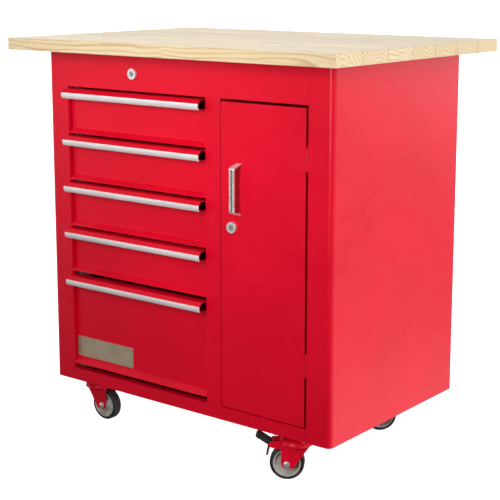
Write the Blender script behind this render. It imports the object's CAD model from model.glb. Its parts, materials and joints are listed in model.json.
"""The looks of the rolling tool cabinet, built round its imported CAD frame.

Metres, +Z up, and the drawers and the door face -Y. Every mesh is made where it lies, with its object
at the origin, so object coordinates are the frame's own and a pattern rides with its body.
"""

import json
import math
import random

import bmesh
import bpy
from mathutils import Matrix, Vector


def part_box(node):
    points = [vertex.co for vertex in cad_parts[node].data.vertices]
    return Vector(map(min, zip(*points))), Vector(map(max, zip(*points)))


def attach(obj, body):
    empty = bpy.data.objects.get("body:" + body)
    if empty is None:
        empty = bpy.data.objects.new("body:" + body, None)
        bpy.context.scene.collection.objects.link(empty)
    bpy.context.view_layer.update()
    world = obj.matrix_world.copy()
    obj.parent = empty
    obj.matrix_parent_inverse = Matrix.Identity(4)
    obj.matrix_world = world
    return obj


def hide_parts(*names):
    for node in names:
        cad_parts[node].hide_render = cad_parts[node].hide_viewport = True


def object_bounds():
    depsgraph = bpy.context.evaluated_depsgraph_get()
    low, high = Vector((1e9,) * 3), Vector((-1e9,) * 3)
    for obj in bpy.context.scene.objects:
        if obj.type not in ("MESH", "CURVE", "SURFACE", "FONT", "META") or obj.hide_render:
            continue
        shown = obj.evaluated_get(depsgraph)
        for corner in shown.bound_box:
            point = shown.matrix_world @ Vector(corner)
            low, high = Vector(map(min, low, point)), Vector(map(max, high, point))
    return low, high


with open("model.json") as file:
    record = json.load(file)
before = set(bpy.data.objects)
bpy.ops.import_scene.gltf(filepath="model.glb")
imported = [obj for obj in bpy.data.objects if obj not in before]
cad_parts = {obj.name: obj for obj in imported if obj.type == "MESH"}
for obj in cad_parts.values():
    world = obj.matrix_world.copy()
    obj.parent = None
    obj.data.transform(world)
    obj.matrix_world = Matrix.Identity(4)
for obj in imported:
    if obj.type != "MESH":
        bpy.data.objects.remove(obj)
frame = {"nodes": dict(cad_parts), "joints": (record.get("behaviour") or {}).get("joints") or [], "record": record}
cad_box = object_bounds()

MM = 0.001
UP = Vector((0, 0, 1))
BACK = Vector((0, 1, 0))
BODIES = frame["record"]["behaviour"]["bodies"]
BODY_OF = {node: body for body, nodes in BODIES.items() for node in nodes}
SLOT_OF = {part["node"]: part["material_slot"] for part in frame["record"]["subparts"]}
JOINTS = {joint["name"]: joint for joint in frame["joints"]}
CASTERS = ("front_left", "front_right", "rear_left", "rear_right")
BRAKED = ("front_right", "rear_right")


# ------------------------------------------------------------------------------------------- materials


def feed(tree, socket, source):
    """Links an output to a socket, or sets a plain value on it."""
    if isinstance(source, bpy.types.NodeSocket):
        tree.links.new(source, socket)
    else:
        socket.default_value = source


class Finish:
    """One material's node tree, with a short call for each kind of node that the finishes use."""

    def __init__(self, name, **sockets):
        self.material = bpy.data.materials.new(name)
        self.material.use_nodes = True
        self.tree = self.material.node_tree
        self.shader = self.tree.nodes["Principled BSDF"]
        self.place = self.node("TexCoord").outputs["Object"]
        for socket, value in sockets.items():
            self.shader.inputs[socket.replace("_", " ")].default_value = value

    def node(self, kind, **settings):
        made = self.tree.nodes.new("ShaderNode" + kind)
        for name, value in settings.items():
            setattr(made, name, value)
        return made

    def vector(self, operation, a, b=None):
        made = self.node("VectorMath", operation=operation)
        feed(self.tree, made.inputs[0], a)
        if b is not None:
            feed(self.tree, made.inputs[1], b)
        return made.outputs["Value" if operation in ("LENGTH", "DOT_PRODUCT") else "Vector"]

    def math(self, operation, a, b=0.0):
        made = self.node("Math", operation=operation)
        feed(self.tree, made.inputs[0], a)
        feed(self.tree, made.inputs[1], b)
        return made.outputs[0]

    def noise(self, scale, detail=3.0, stretch=None, colour=False):
        """Noise of about the given number of features a metre, finer along an axis by its stretch."""
        where = self.vector("MULTIPLY", self.place, stretch) if stretch else self.place
        made = self.node("TexNoise")
        feed(self.tree, made.inputs["Vector"], where)
        made.inputs["Scale"].default_value = scale
        made.inputs["Detail"].default_value = detail
        return made.outputs["Color" if colour else "Fac"]

    def span(self, value, low, high, start=0.3, end=0.7):
        """Stretches a value's range from start..end to low..high."""
        made = self.node("MapRange")
        feed(self.tree, made.inputs["Value"], value)
        for name, number in (("From Min", start), ("From Max", end), ("To Min", low), ("To Max", high)):
            made.inputs[name].default_value = number
        return made.outputs["Result"]

    def ramp(self, value, *stops):
        """Colours along a value. Each stop is (position, colour)."""
        made = self.node("ValToRGB")
        elements = made.color_ramp.elements
        while len(elements) < len(stops):
            elements.new(0.5)
        for element, (position, colour) in zip(elements, stops):
            element.position = position
            element.color = (*colour, 1)
        feed(self.tree, made.inputs["Fac"], value)
        return made.outputs["Color"]

    def mix(self, factor, a, b, blend="MIX"):
        """Blends two colours on the colour sockets, which come after the plain and the vector ones."""
        made = self.node("Mix", data_type="RGBA", blend_type=blend)
        for socket, source in ((made.inputs[0], factor), (made.inputs[6], a), (made.inputs[7], b)):
            feed(self.tree, socket, source)
        return made.outputs[2]

    def attribute(self, name, output):
        return self.node("Attribute", attribute_name=name).outputs[output]

    def bump(self, height, depth, strength=1.0, under=None):
        """Adds relief of the given depth in metres, on top of an earlier relief."""
        made = self.node("Bump")
        made.inputs["Strength"].default_value = strength
        made.inputs["Distance"].default_value = depth
        feed(self.tree, made.inputs["Height"], height)
        if under is not None:
            feed(self.tree, made.inputs["Normal"], under)
        return made.outputs["Normal"]

    def finish(self, colour, roughness, normal):
        """Wires up what every finish has, and returns the material."""
        feed(self.tree, self.shader.inputs["Base Color"], colour)
        feed(self.tree, self.shader.inputs["Roughness"], roughness)
        feed(self.tree, self.shader.inputs["Normal"], normal)
        return self.material


def powder_coat(name, deep, bright, worn=None):
    """Glossy powder coat with a fine orange peel. An edge's coat is thinner and rubbed through in places."""
    f = Finish(name, Specular_IOR_Level=0.20, Coat_Weight=0.07, Coat_Roughness=0.12)
    colour = f.ramp(f.noise(5, 2), (0.35, deep), (0.65, bright))
    if worn:
        colour = f.mix(f.span(f.noise(170, 4), 0, 1, 0.45, 0.75), colour, (*worn, 1))
    peel = f.bump(f.noise(420, 2), 0.012 * MM)
    relief = f.bump(f.noise(7, 1), 0.35 * MM, under=peel)
    return f.finish(colour, f.span(f.noise(34, 5), 0.30, 0.40), relief)


def zinc(name="zinc_steel"):
    """Zinc plate with faint spangles and scuffs along the sheet."""
    f = Finish(name, Metallic=0.6)
    colour = f.ramp(f.noise(60, 3), (0.3, (0.56, 0.57, 0.58)), (0.7, (0.72, 0.73, 0.73)))
    scuffs = f.noise(90, 4, stretch=(1, 1, 6))
    return f.finish(colour, f.span(scuffs, 0.28, 0.48), f.bump(scuffs, 0.05 * MM))


def satin_aluminium(name="pull_aluminium"):
    """Anodised strip, brushed along X."""
    f = Finish(name, Metallic=0.15)
    brushed = f.noise(16, 3, stretch=(1, 70, 70))
    colour = f.ramp(f.noise(9, 2), (0.3, (0.72, 0.67, 0.67)), (0.7, (0.80, 0.75, 0.75)))
    return f.finish(colour, f.span(brushed, 0.32, 0.48), f.bump(brushed, 0.03 * MM))


def brushed_badge(name="badge_metal"):
    """Warm champagne plate, brushed along X and duller in patches."""
    f = Finish(name, Metallic=0.75)
    brushed = f.noise(12, 4, stretch=(1, 60, 60))
    patches = f.ramp(f.noise(24, 3), (0.3, (0.42, 0.33, 0.21)), (0.7, (0.58, 0.47, 0.33)))
    colour = f.mix(f.span(brushed, 0, 0.5), patches, (0.70, 0.60, 0.45, 1))
    return f.finish(colour, f.span(brushed, 0.34, 0.55), f.bump(brushed, 0.05 * MM))


def chrome(name, dull, bright, polish):
    """Bright plate with faint smears."""
    f = Finish(name, Metallic=0.55)
    smears = f.noise(40, 1, stretch=(3, 1, 1))
    colour = f.ramp(smears, (0.3, dull), (0.7, bright))
    return f.finish(colour, f.span(smears, polish, polish + 0.06), f.bump(f.noise(60, 1), 0.004 * MM))


def lock_core(name="lock_core"):
    """Turned grey metal with a fine, even grain."""
    f = Finish(name, Metallic=0.5)
    grain = f.noise(900, 3)
    colour = f.ramp(grain, (0.3, (0.22, 0.23, 0.21)), (0.7, (0.34, 0.35, 0.32)))
    return f.finish(colour, f.span(grain, 0.34, 0.48), f.bump(grain, 0.02 * MM))


def rubber(name, dark, dusty, rough):
    """Matt rubber with a moulded grain and dust in patches."""
    f = Finish(name, Specular_IOR_Level=0.35)
    colour = f.ramp(f.noise(38, 5), (0.40, dark), (0.72, dusty))
    grain = f.noise(700, 3)
    return f.finish(colour, f.span(grain, rough - 0.08, rough + 0.10), f.bump(grain, 0.08 * MM))


def hub_plastic(name="hub_plastic"):
    """Warm grey moulded plastic, a little dirtier in patches."""
    f = Finish(name, Specular_IOR_Level=0.45)
    colour = f.ramp(f.noise(60, 4), (0.32, (0.36, 0.34, 0.30)), (0.66, (0.56, 0.54, 0.49)))
    grain = f.noise(500, 3)
    return f.finish(colour, f.span(grain, 0.36, 0.50), f.bump(grain, 0.03 * MM))


def pine(name="pine"):
    """Lacquered pine: growth rings round each stave's own pith, so long grain and end grain agree."""
    f = Finish(name, Coat_Weight=0.12, Coat_Roughness=0.25, Specular_IOR_Level=0.35)
    ring_gap, slow_sway, quick_sway = 7.0 * MM, 45 * MM, 7 * MM
    taper = 0.045
    average = (0.5, 0.5, 0.5)
    slow = f.vector("SUBTRACT", f.noise(1, 2, stretch=(2.2, 14, 14), colour=True), average)
    quick = f.vector("SUBTRACT", f.noise(1, 2, stretch=(6, 60, 60), colour=True), average)
    bent = f.vector("ADD", f.place, f.vector("MULTIPLY", slow, (0.0, slow_sway, slow_sway)))
    bent = f.vector("ADD", bent, f.vector("MULTIPLY", quick, (0.0, quick_sway, quick_sway)))
    from_pith = f.vector("SUBTRACT", bent, f.attribute("pith", "Vector"))
    radius = f.vector("LENGTH", f.vector("MULTIPLY", from_pith, (taper, 1, 1)))
    ring = f.math("FRACT", f.math("MULTIPLY", radius, 1 / ring_gap))
    early, middle, late = (0.80, 0.66, 0.43), (0.76, 0.58, 0.34), (0.52, 0.32, 0.14)
    rings = f.ramp(ring, (0.0, early), (0.60, middle), (0.88, late), (1.0, early))
    fibres = f.noise(1, 4, stretch=(9, 620, 620))
    strength = f.span(f.noise(1, 2, stretch=(3, 25, 25)), 0.45, 0.95)
    grain = f.mix(strength, (0.77, 0.62, 0.39, 1), rings)
    toned = f.mix(0.4, grain, f.ramp(fibres, (0.3, (0.74, 0.70, 0.64)), (0.7, (1, 1, 1))), "MULTIPLY")
    stave = f.ramp(f.attribute("tone", "Fac"), (0.0, (0.88, 0.85, 0.80)), (1.0, (1, 1, 1)))
    colour = f.mix(1.0, toned, stave, "MULTIPLY")
    relief = f.bump(ring, 0.03 * MM, under=f.bump(fibres, 0.05 * MM))
    return f.finish(colour, f.span(fibres, 0.40, 0.56), relief)


def pale_floor():
    """Near-white floor that glows a little, so that it is as bright as the backdrop behind it."""
    f = Finish("pale_floor", Specular_IOR_Level=0.1, Emission_Color=(1, 1, 1, 1), Emission_Strength=0.9)
    colour = f.ramp(f.noise(2, 3), (0.3, (0.90, 0.90, 0.90)), (0.7, (0.94, 0.94, 0.94)))
    return f.finish(colour, f.span(f.noise(9, 3), 0.7, 0.85), f.bump(f.noise(60, 2), 0.05 * MM))


RED = (0.735, 0.0015, 0.022)
RED_DEEP = (0.680, 0.0012, 0.019)
RED_THIN = (0.780, 0.050, 0.065)
BLACK = (0.016, 0.016, 0.017)
DUSTY = (0.050, 0.048, 0.046)

MATERIALS = {
    "red_paint": powder_coat("red_paint", RED_DEEP, RED),
    "zinc_steel": zinc(),
    "pine": pine(),
    "pull_aluminium": satin_aluminium(),
    "badge_metal": brushed_badge(),
    "bright_chrome": chrome("bright_chrome", (0.76, 0.73, 0.72), (0.88, 0.85, 0.84), 0.24),
    "lock_core": lock_core(),
    "tyre_rubber": rubber("tyre_rubber", BLACK, DUSTY, 0.55),
    "hub_plastic": hub_plastic(),
    "pedal_rubber": rubber("pedal_rubber", BLACK, (0.035, 0.034, 0.034), 0.62),
}
TARNISHED = chrome("tarnished_chrome", (0.16, 0.14, 0.12), (0.30, 0.27, 0.24), 0.34)
RED_EDGE = powder_coat("red_paint_edge", RED_DEEP, RED, worn=RED_THIN)


# ------------------------------------------------------------------------------------------ mesh helpers


def link_in(made):
    """Puts a new object in the scene."""
    bpy.context.scene.collection.objects.link(made)
    return made


def shade_evenly(piece):
    """Lets a piece's flat faces keep their own normals beside rounded edges."""
    even = piece.modifiers.new("even_shading", "WEIGHTED_NORMAL")
    even.keep_sharp = True


def dress(node, soft):
    """Gives a carried-over CAD node its finish and rounds its hard edges by the given width."""
    piece = frame["nodes"][node]
    slot = SLOT_OF[node]
    piece.data.materials.clear()
    piece.data.materials.append(MATERIALS[slot])
    piece.data.materials.append(RED_EDGE if slot == "red_paint" else MATERIALS[slot])
    weld = piece.modifiers.new("weld", "WELD")
    weld.merge_threshold = 0.001 * MM
    flats = piece.modifiers.new("flats", "DECIMATE")
    flats.decimate_type = "DISSOLVE"
    flats.angle_limit = math.radians(0.4)
    bevel = piece.modifiers.new("soft_edges", "BEVEL")
    bevel.width = soft
    bevel.segments = 2
    bevel.limit_method = "ANGLE"
    bevel.angle_limit = math.radians(28)
    bevel.material = 1
    shade_evenly(piece)


def add_piece(name, bm, node, slot, second=None, sharp=38):
    """Turns a bmesh into a piece that stands for a CAD node and rides on its body."""
    bmesh.ops.recalc_face_normals(bm, faces=bm.faces)
    mesh = bpy.data.meshes.new(name)
    bm.to_mesh(mesh)
    bm.free()
    mesh.materials.append(MATERIALS[slot])
    if second:
        mesh.materials.append(second)
    mesh.polygons.foreach_set("use_smooth", [True] * len(mesh.polygons))
    mesh.set_sharp_from_angle(angle=math.radians(sharp))
    piece = link_in(bpy.data.objects.new(name, mesh))
    shade_evenly(piece)
    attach(piece, BODY_OF[node])
    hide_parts(node)


def loft(bm, rings):
    """Skins a row of rings of equal counts and caps both ends. Returns the sides and the two caps."""
    loops = [[bm.verts.new(p) for p in ring] for ring in rings]
    count = len(loops[0])
    sides = []
    for a, b in zip(loops, loops[1:]):
        for i in range(count):
            j = (i + 1) % count
            sides.append(bm.faces.new((a[i], a[j], b[j], b[i])))
    caps = [bm.faces.new(reversed(loops[0])), bm.faces.new(loops[-1])]
    return sides, caps


def rounded(points, radius, steps=4, closed=False):
    """A line of 2-D points with its corners turned into arcs. An arc takes up less than half of a side."""
    nearly_straight, most_of_side = math.radians(88), 0.48
    made = []
    count = len(points)
    for i, corner in enumerate(points):
        here = Vector(corner)
        if not closed and i in (0, count - 1):
            made.append(here)
            continue
        to_last = Vector(points[i - 1]) - here
        to_next = Vector(points[(i + 1) % count]) - here
        half = to_last.angle(to_next) / 2
        if half > nearly_straight:
            made.append(here)
            continue
        cut = min(radius / math.tan(half), to_last.length * most_of_side, to_next.length * most_of_side)
        a = here + to_last.normalized() * cut
        b = here + to_next.normalized() * cut
        for k in range(steps + 1):
            t = k / steps
            made.append(a * (1 - t) ** 2 + here * 2 * t * (1 - t) + b * t * t)
    return made


def mirrored(profile):
    """A wheel's (distance along the axle, radius) outline on the other side, in the opposite order."""
    return [(-along, radius) for along, radius in reversed(profile)]


def lathe(bm, centre, axis, profile, segments=96):
    """Turns a closed (distance along the axis, radius) outline about an axis. A zero radius is a pole."""
    axis = Vector(axis).normalized()
    side = axis.orthogonal().normalized()
    other = axis.cross(side)
    rings = []
    for along, radius in profile:
        if radius < 1e-7:
            rings.append([bm.verts.new(centre + axis * along)])
            continue
        turns = [2 * math.pi * k / segments for k in range(segments)]
        rings.append([
            bm.verts.new(centre + axis * along + (side * math.cos(a) + other * math.sin(a)) * radius)
            for a in turns
        ])
    for a, b in zip(rings, rings[1:] + rings[:1]):
        if len(a) == len(b) == 1:
            continue
        for i in range(segments):
            j = (i + 1) % segments
            corners = [a[i % len(a)], a[j % len(a)], b[j % len(b)], b[i % len(b)]]
            bm.faces.new(list(dict.fromkeys(corners)))


def joint_frame(name):
    """Where a hinge is, its axis, and the level direction across it."""
    joint = JOINTS[name]
    axis = Vector(joint["axis"])
    return Vector(joint["pos_m"]), axis, axis.cross(UP)


# ---------------------------------------------------------------------------------------------- worktop


def strip_section(x, y0, y1, z0, z1, front, rear):
    """Outline of a worktop strip at x, its front and rear edges eased by the given amounts."""
    points = [(y0 + front, z0), (y1 - rear, z0), (y1, z0 + rear), (y1, z1 - rear),
              (y1 - rear, z1), (y0 + front, z1), (y0, z1 - front), (y0, z0 + front)]
    return [Vector((x, y, z)) for y, z in points]


def worktop_boards():
    """Seven edge-glued pine strips, each made of staves jointed end to end.

    Each stave has its own pith line, above or below the worktop, and its own tone.
    """
    low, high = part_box("worktop")
    length, width = high.x - low.x, high.y - low.y
    strips = 7
    eased, hairline = 1.0 * MM, 0.2 * MM
    nearest_pith, farthest_pith = 15 * MM, 70 * MM
    first_cut, last_cut, front_strip_cuts = 0.15, 0.85, (0.15, 0.52)
    draw = random.Random(11)
    bm = bmesh.new()
    pith = bm.faces.layers.float_vector.new("pith")
    tone = bm.faces.layers.float.new("tone")
    for k in range(strips):
        y0, y1 = (low.y + width * i / strips for i in (k, k + 1))
        front = eased if k == 0 else hairline
        rear = eased if k == strips - 1 else hairline

        def section(x, inset=0.0):
            return strip_section(x, y0 + inset, y1 - inset, low.z + inset, high.z - inset, front, rear)

        if k == 0:
            shares = front_strip_cuts
        else:
            shares = sorted(draw.uniform(first_cut, last_cut) for _ in range(draw.choice((1, 2, 2))))
        cuts = [low.x + length * share for share in shares]
        rings = [section(low.x, eased), section(low.x + eased), *(section(x) for x in cuts),
                 section(high.x - eased), section(high.x, eased)]
        sides, caps = loft(bm, rings)
        staves = []
        for _ in range(len(cuts) + 1):
            x, y = draw.uniform(low.x, high.x), draw.uniform(y0, y1)
            z = high.z + draw.choice((-1, 1)) * draw.uniform(nearest_pith, farthest_pith)
            staves.append((Vector((x, y, z)), draw.random()))
        stave_of_span = [0, *range(len(cuts) + 1), len(cuts)]
        owners = [stave_of_span[i // len(rings[0])] for i in range(len(sides))] + [0, len(cuts)]
        for face, owner in zip(sides + caps, owners):
            face[pith], face[tone] = staves[owner]
    add_piece("worktop_boards", bm, "worktop", "pine", sharp=20)


# ------------------------------------------------------------------------------------- handle and badge


def handle_section(half_w, half_t, groove_w, groove_d):
    """The bar's outline across and through it, with a sloping-sided groove in its outer face."""
    slope = 0.4 * MM
    points = [(-half_w, -half_t), (-groove_w, -half_t), (slope - groove_w, groove_d - half_t),
              (groove_w - slope, groove_d - half_t), (groove_w, -half_t), (half_w, -half_t),
              (half_w, half_t), (-half_w, half_t)]
    return rounded(points, 0.7 * MM, steps=3, closed=True)


def door_handle_bow():
    """Flat bar bent into a bow, with rounded edges and a tarnished groove along its face."""
    low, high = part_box("door_handle")
    x, middle, half_h = (low.x + high.x) / 2, (low.z + high.z) / 2, (high.z - low.z) / 2
    door_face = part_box("door_panel")[0].y
    half_w, half_t = (high.x - low.x) / 2, 1.75 * MM
    groove_w, groove_d = 2.2 * MM, 1.6 * MM
    reach = low.y + half_t
    foot, bend = half_h - 1.5 * MM, half_h - 9.0 * MM
    line = rounded([(door_face, -foot), (reach, -bend), (reach, bend), (door_face, foot)], 5 * MM, steps=8)
    outline = handle_section(half_w, half_t, groove_w, groove_d)
    rings = []
    for i, point in enumerate(line):
        ahead = (line[min(i + 1, len(line) - 1)] - line[max(i - 1, 0)]).normalized()
        outward = Vector((-ahead.y, ahead.x))
        rings.append([
            Vector((x + a, point.x - outward.x * b, middle + point.y - outward.y * b)) for a, b in outline
        ])
    bm = bmesh.new()
    sides, _ = loft(bm, rings)
    face_depth = 0.3 * MM
    for side in sides:
        centre = side.calc_center_median()
        in_groove = low.y + face_depth < centre.y < reach and abs(centre.x - x) < groove_w
        side.material_index = int(in_groove)
    sheet, nut_end, bolt_end = 1.2 * MM, 4.2 * MM, 6.2 * MM
    nut_r, bolt_r = 4 * MM, 2 * MM
    nut = [(sheet, 0), (sheet, nut_r), (nut_end - 0.3 * MM, nut_r), (nut_end, nut_r - 0.4 * MM),
           (nut_end, bolt_r), (bolt_end, bolt_r), (bolt_end, 0)]
    for side in (-1, 1):
        lathe(bm, Vector((x, door_face, middle + side * (foot - 4 * MM))), BACK, nut, 32)
    add_piece("door_handle_bow", bm, "door_handle", "bright_chrome", second=TARNISHED)


def badge_sheet():
    """Blank plate with rounded corners and a sunk line round its border."""
    low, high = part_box("badge_plate")
    half_w, half_h = (high.x - low.x) / 2, (high.z - low.z) / 2
    middle = Vector(((low.x + high.x) / 2, (low.z + high.z) / 2))
    corners = [(low.x, low.z), (high.x, low.z), (high.x, high.z), (low.x, high.z)]
    outline = rounded(corners, 3 * MM, steps=5, closed=True)
    soft, border, line_w, sunk, slope = 0.25 * MM, 4.0 * MM, 1.2 * MM, 0.35 * MM, 0.2 * MM

    def ring(inset, y):
        narrower, lower = 1 - inset / half_w, 1 - inset / half_h
        offsets = [p - middle for p in outline]
        return [Vector((middle.x + q.x * narrower, y, middle.y + q.y * lower)) for q in offsets]

    rings = [ring(0, high.y), ring(0, low.y + soft), ring(soft, low.y), ring(border, low.y),
             ring(border + slope, low.y + sunk), ring(border + line_w, low.y + sunk),
             ring(border + line_w + slope, low.y)]
    bm = bmesh.new()
    loft(bm, rings)
    add_piece("badge_sheet", bm, "badge_plate", "badge_metal", sharp=25)


# --------------------------------------------------------------------------------------------- casters

TREAD_HALF_W = 12 * MM
TREAD_WALL = 7.5 * MM


def wheel(caster):
    """The wheel's centre and axis, and its outer radius."""
    centre, axis, _ = joint_frame(caster + "_wheel_spin")
    low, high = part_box(caster + "_tyre")
    return centre, axis, (high.z - low.z) / 2


def wheel_tyre(caster):
    """Rubber tread with rounded shoulders, three grooves and a raised bead on each side."""
    centre, axis, outer = wheel(caster)
    half, inner = TREAD_HALF_W, outer - TREAD_WALL
    right = rounded([(half - 0.6 * MM, inner), (half, inner + 1.2 * MM), (half, inner + 2.4 * MM),
                     (half - 0.7 * MM, inner + 3.2 * MM), (half - 0.4 * MM, outer - 2.6 * MM),
                     (half - 3.2 * MM, outer - 0.25 * MM), (6.6 * MM, outer)], 0.8 * MM, steps=3)
    mouth, floor, depth = 0.9 * MM, 0.5 * MM, 0.9 * MM

    def groove(middle):
        return [(middle + mouth, outer), (middle + floor, outer - depth),
                (middle - floor, outer - depth), (middle - mouth, outer)]

    outline = right + groove(5 * MM) + groove(0) + groove(-5 * MM) + mirrored(right)
    bm = bmesh.new()
    lathe(bm, centre, axis, outline, 120)
    add_piece(caster + "_tread", bm, caster + "_tyre", "tyre_rubber")


def wheel_hub(caster):
    """Moulded centre with a dished web, a rolled rim and a boss."""
    centre, axis, outer = wheel(caster)
    rim = outer - TREAD_WALL
    boss_half, rim_half, bore_r = 14.2 * MM, 11.5 * MM, 4.05 * MM
    right = rounded([(boss_half, bore_r), (boss_half, 9.5 * MM), (11 * MM, 11 * MM), (5 * MM, 13 * MM),
                     (3 * MM, rim - 8 * MM), (6 * MM, rim - 5 * MM), (10.6 * MM, rim - 3.6 * MM),
                     (rim_half, rim - 2.6 * MM), (rim_half, rim)], 1.6 * MM, steps=4)
    bm = bmesh.new()
    lathe(bm, centre, axis, right + mirrored(right), 96)
    add_piece(caster + "_wheel_centre", bm, caster + "_hub", "hub_plastic")


def axle_bolt(caster):
    """Through bolt with a domed head on both ends."""
    centre, axis, _ = wheel(caster)
    seat, head_r, rim, dome, shank_r = 18.35 * MM, 7 * MM, 0.9 * MM, 4 * MM, 4 * MM
    steps = 7
    right = [(seat - 0.2 * MM, shank_r), (seat, shank_r + 0.01 * MM), (seat, head_r)]
    for k in range(steps):
        a = math.pi / 2 * k / steps
        right.append((seat + rim + (dome - rim) * math.sin(a), head_r * math.cos(a)))
    right.append((seat + dome, 0))
    bm = bmesh.new()
    lathe(bm, centre, axis, mirrored(right) + right, 48)
    add_piece(caster + "_axle_bolt", bm, caster + "_axle", "zinc_steel")


def brake_at(caster):
    """Turns a place on a brake (ahead of its pivot, above it, and along it) into one in the cabinet."""
    pivot, axis, forward = joint_frame(caster + "_brake_press")
    return lambda ahead, above, along: pivot + forward * ahead + UP * above + axis * along


PEDAL_HALF_W = 13 * MM


def brake_cover(caster):
    """Rubber-dipped foot plate with rounded ends and ridges across it."""
    at = brake_at(caster)
    tilt = math.radians(32)
    along = Vector((math.cos(tilt), math.sin(tilt)))
    over = Vector((-along.y, along.x))
    root = Vector((7, -4.7)) * MM
    length, thick, end_r, corner_r = 38 * MM, 11 * MM, 6 * MM, 4.5 * MM
    ridges, ridge_h, first_ridge, last_ridge = 5, 0.7 * MM, 0.12, 0.88
    thinnest, narrowing = 0.35, 0.28
    steps = 44
    rings = []
    for k in range(steps + 1):
        s = k / steps
        from_end = min(s, 1 - s) * length
        round_end = math.sqrt(max(0.0, 1 - (1 - min(from_end / end_r, 1.0)) ** 2))
        full = thinnest + (1 - thinnest) * round_end
        lift = 0.0
        if first_ridge < s < last_ridge:
            lift = ridge_h * max(0.0, math.sin(s * (2 * ridges + 1) * math.pi))
        w = PEDAL_HALF_W * (1 - narrowing + narrowing * full)
        t0, t1 = thick * (0.5 - 0.5 * full), thick * (0.5 + 0.5 * full) + lift
        section = rounded([(-w, t0), (w, t0), (w, t1), (-w, t1)], corner_r, steps=5, closed=True)
        rings.append([at(*(root + along * (s * length) + over * q.y), q.x) for q in section])
    bm = bmesh.new()
    loft(bm, rings)
    add_piece(caster + "_pedal_cover", bm, caster + "_pedal", "pedal_rubber")


def brake_lever(caster):
    """Barrel round the pivot, a red link to the foot plate and a dipped blade over the tyre.

    The outlines of the link and the blade are in millimetres from the pivot.
    """
    pivot, axis, _ = joint_frame(caster + "_brake_press")
    at = brake_at(caster)
    half_w, barrel_r, bore_r, soft = PEDAL_HALF_W, 5.5 * MM, 2.6 * MM, 0.5 * MM
    bm = bmesh.new()
    barrel = [(-half_w, bore_r), (-half_w, barrel_r - soft), (soft - half_w, barrel_r),
              (half_w - soft, barrel_r), (half_w, barrel_r - soft), (half_w, bore_r)]
    lathe(bm, pivot, axis, barrel, 40)
    link = rounded([(4, -3.6), (10, -3.6), (10, 3.2), (4, 3.2)], 1, steps=3, closed=True)
    blade = rounded([(6, -3), (11, -2), (15.5, -27), (11, -27.5)], 1.3, steps=3, closed=True)
    red, dipped, eased = 0, 1, 0.9
    for outline, half, finish in ((link, half_w - 0.4 * MM, red), (blade, 7 * MM, dipped)):
        middle = sum(outline, Vector((0, 0))) / len(outline)
        spans = ((-half, eased), (soft - half, 1.0), (half - soft, 1.0), (half, eased))
        rings = [[at(*((middle + (q - middle) * size) * MM), t) for q in outline] for t, size in spans]
        sides, caps = loft(bm, rings)
        for face in sides + caps:
            face.material_index = finish
    add_piece(caster + "_brake_lever", bm, caster + "_pedal", "red_paint", second=MATERIALS["pedal_rubber"])


# ---------------------------------------------------------------------------------------- studio

# How bright the backdrop is in general, and its brighter parts: the direction each lies in, the cosines
# from the direction at which it fades in and is full, and how much it adds. Matt surfaces are lit by one
# set and glossy ones mirror the other.
FILL = 0.11
GLOWS = (
    ((0.80, 0.60, 0.0), 0.35, 0.95, 2.60),
    ((-0.90, -0.45, 0.3), 0.80, 0.98, 0.20),
    ((-0.50, 0.84, 0.2), 0.50, 0.98, 0.40),
    ((0.0, -0.2, 1.0), 0.10, 0.95, 0.15),
)
MIRRORED = 0.05
SHEENS = (
    ((0.34, 0.92, 0.18), 0.925, 0.985, 4.00),
    ((0.36, 0.75, -0.60), 0.92, 0.985, 2.20),
    ((-0.90, -0.42, 0.08), 0.875, 0.95, 1.25),
    ((-0.62, 0.78, 0.08), 0.80, 0.97, 1.90),
    ((0.0, -0.2, 1.0), 0.10, 0.95, 0.60),
)

# The soft boxes in front of the cabinet: name, place, what each points at, its size and watts, and its
# spread in degrees.
SOFTBOXES = (
    ("key", (0.40, -1.70, 1.05), (0.14, -0.245, 0.80), (0.5, 1.1), 6.7, 100),
    ("left_fill", (-0.70, -1.35, 1.15), (-0.25, -0.245, 0.90), (0.5, 0.4), 0.50, 50),
)


def aim(thing, place, target):
    """Puts a lamp in its place and turns it towards its target."""
    thing.location = place
    thing.rotation_mode = "QUATERNION"
    thing.rotation_quaternion = (Vector(target) - Vector(place)).to_track_quat("-Z", "Y")


def softbox(name, place, target, size, watts, spread):
    """A rectangular lamp that the camera doesn't see."""
    lamp = bpy.data.lights.new(name, "AREA")
    lamp.shape = "RECTANGLE"
    lamp.size, lamp.size_y = size
    lamp.energy = watts
    lamp.spread = math.radians(spread)
    made = link_in(bpy.data.objects.new(name, lamp))
    aim(made, place, target)
    made.visible_camera = False


def overhead_sun():
    """A wide, weak lamp from above and a little in front."""
    middle = (cad_box[0] + cad_box[1]) / 2
    sun = bpy.data.lights.new("overhead", "SUN")
    sun.energy = 0.45
    sun.angle = math.radians(60)
    aim(link_in(bpy.data.objects.new("overhead", sun)), middle + Vector((0.2, -0.5, 2.0)), middle)


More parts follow.
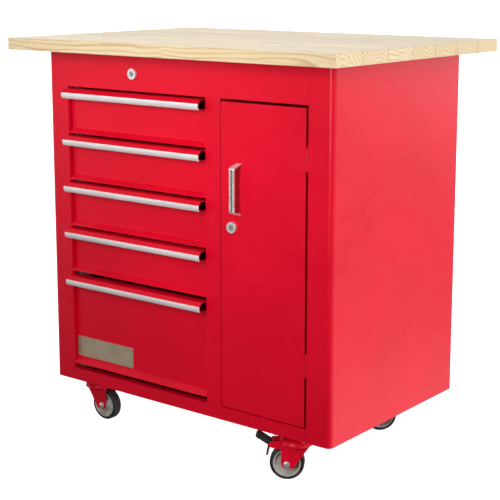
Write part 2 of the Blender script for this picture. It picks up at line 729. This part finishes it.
def backdrop():
    """White to the camera, while matt surfaces see its glows and glossy ones its sheens."""
    world = bpy.data.worlds.new("studio")
    bpy.context.scene.world = world
    world.use_nodes = True
    tree = world.node_tree
    shade = tree.nodes["Background"]
    towards = tree.nodes.new("ShaderNodeTexCoord").outputs["Generated"]

    def joined(kind, settings, *sources):
        """A new node with its first inputs fed in order."""
        made = tree.nodes.new("ShaderNode" + kind)
        for name, value in settings.items():
            setattr(made, name, value)
        for socket, source in zip(made.inputs, sources):
            feed(tree, socket, source)
        return made

    def lobes(total, glows):
        """An even brightness with the glows added to it."""
        for direction, start, end, glow in glows:
            axis = Vector(direction).normalized()
            facing = joined("VectorMath", {"operation": "DOT_PRODUCT"}, towards, axis)
            lobe = joined("MapRange", {"interpolation_type": "SMOOTHSTEP"}, facing.outputs["Value"],
                          start, end, 0.0, glow)
            total = joined("Math", {"operation": "ADD"}, lobe.outputs["Result"], total).outputs[0]
        return total

    def either(is_ray, other, seen):
        """The seen brightness for one kind of ray, and the other brightness for the rest."""
        made = tree.nodes.new("ShaderNodeMix")
        for name, source in (("Factor", is_ray), ("A", other), ("B", seen)):
            feed(tree, made.inputs[name], source)
        return made.outputs[0]

    ray = tree.nodes.new("ShaderNodeLightPath").outputs
    lighting = either(ray["Is Diffuse Ray"], lobes(MIRRORED, SHEENS), lobes(FILL, GLOWS))
    tree.links.new(either(ray["Is Camera Ray"], lighting, 1.0), shade.inputs["Strength"])
    shade.inputs["Color"].default_value = (1, 1, 1, 1)


def floor_disc():
    """A pale floor just under the casters, which takes shadows but lights nothing."""
    bm = bmesh.new()
    bmesh.ops.create_circle(bm, cap_ends=True, radius=60, segments=96)
    mesh = bpy.data.meshes.new("floor")
    bm.to_mesh(mesh)
    bm.free()
    mesh.materials.append(pale_floor())
    floor = link_in(bpy.data.objects.new("floor", mesh))
    floor.location.z = cad_box[0].z - 0.2 * MM
    floor.visible_diffuse = False
    floor.visible_glossy = False


def camera():
    """Off the front right corner, a little above the worktop and tilted slightly down."""
    turn, tilt = math.radians(38.21), math.radians(10.33)
    lens = bpy.data.cameras.new("camera")
    lens.sensor_width = 36
    lens.lens = 92.4
    lens.shift_y = -0.10
    lens.clip_end = 200
    made = link_in(bpy.data.objects.new("camera", lens))
    made.location = (1.8112, -2.3013, 1.0808)
    made.rotation_euler = (math.pi / 2 - tilt, 0, turn)
    bpy.context.scene.camera = made


# ----------------------------------------------------------------------------------------------- build

# How wide the bevel on a CAD node's hard edges is.
SOFT_EDGE = 0.35 * MM
SOFT_EDGES = {"door_panel": 0.9 * MM}

worktop_boards()
door_handle_bow()
badge_sheet()
for caster in CASTERS:
    wheel_tyre(caster)
    wheel_hub(caster)
    axle_bolt(caster)
for caster in BRAKED:
    brake_cover(caster)
    brake_lever(caster)
for node, cad in frame["nodes"].items():
    if not cad.hide_render:
        dress(node, SOFT_EDGES.get(node, SOFT_EDGE))

camera()
for settings in SOFTBOXES:
    softbox(*settings)
overhead_sun()
backdrop()
floor_disc()

bpy.context.scene.view_settings.view_transform = "Standard"
bpy.context.scene.cycles.use_denoising = True
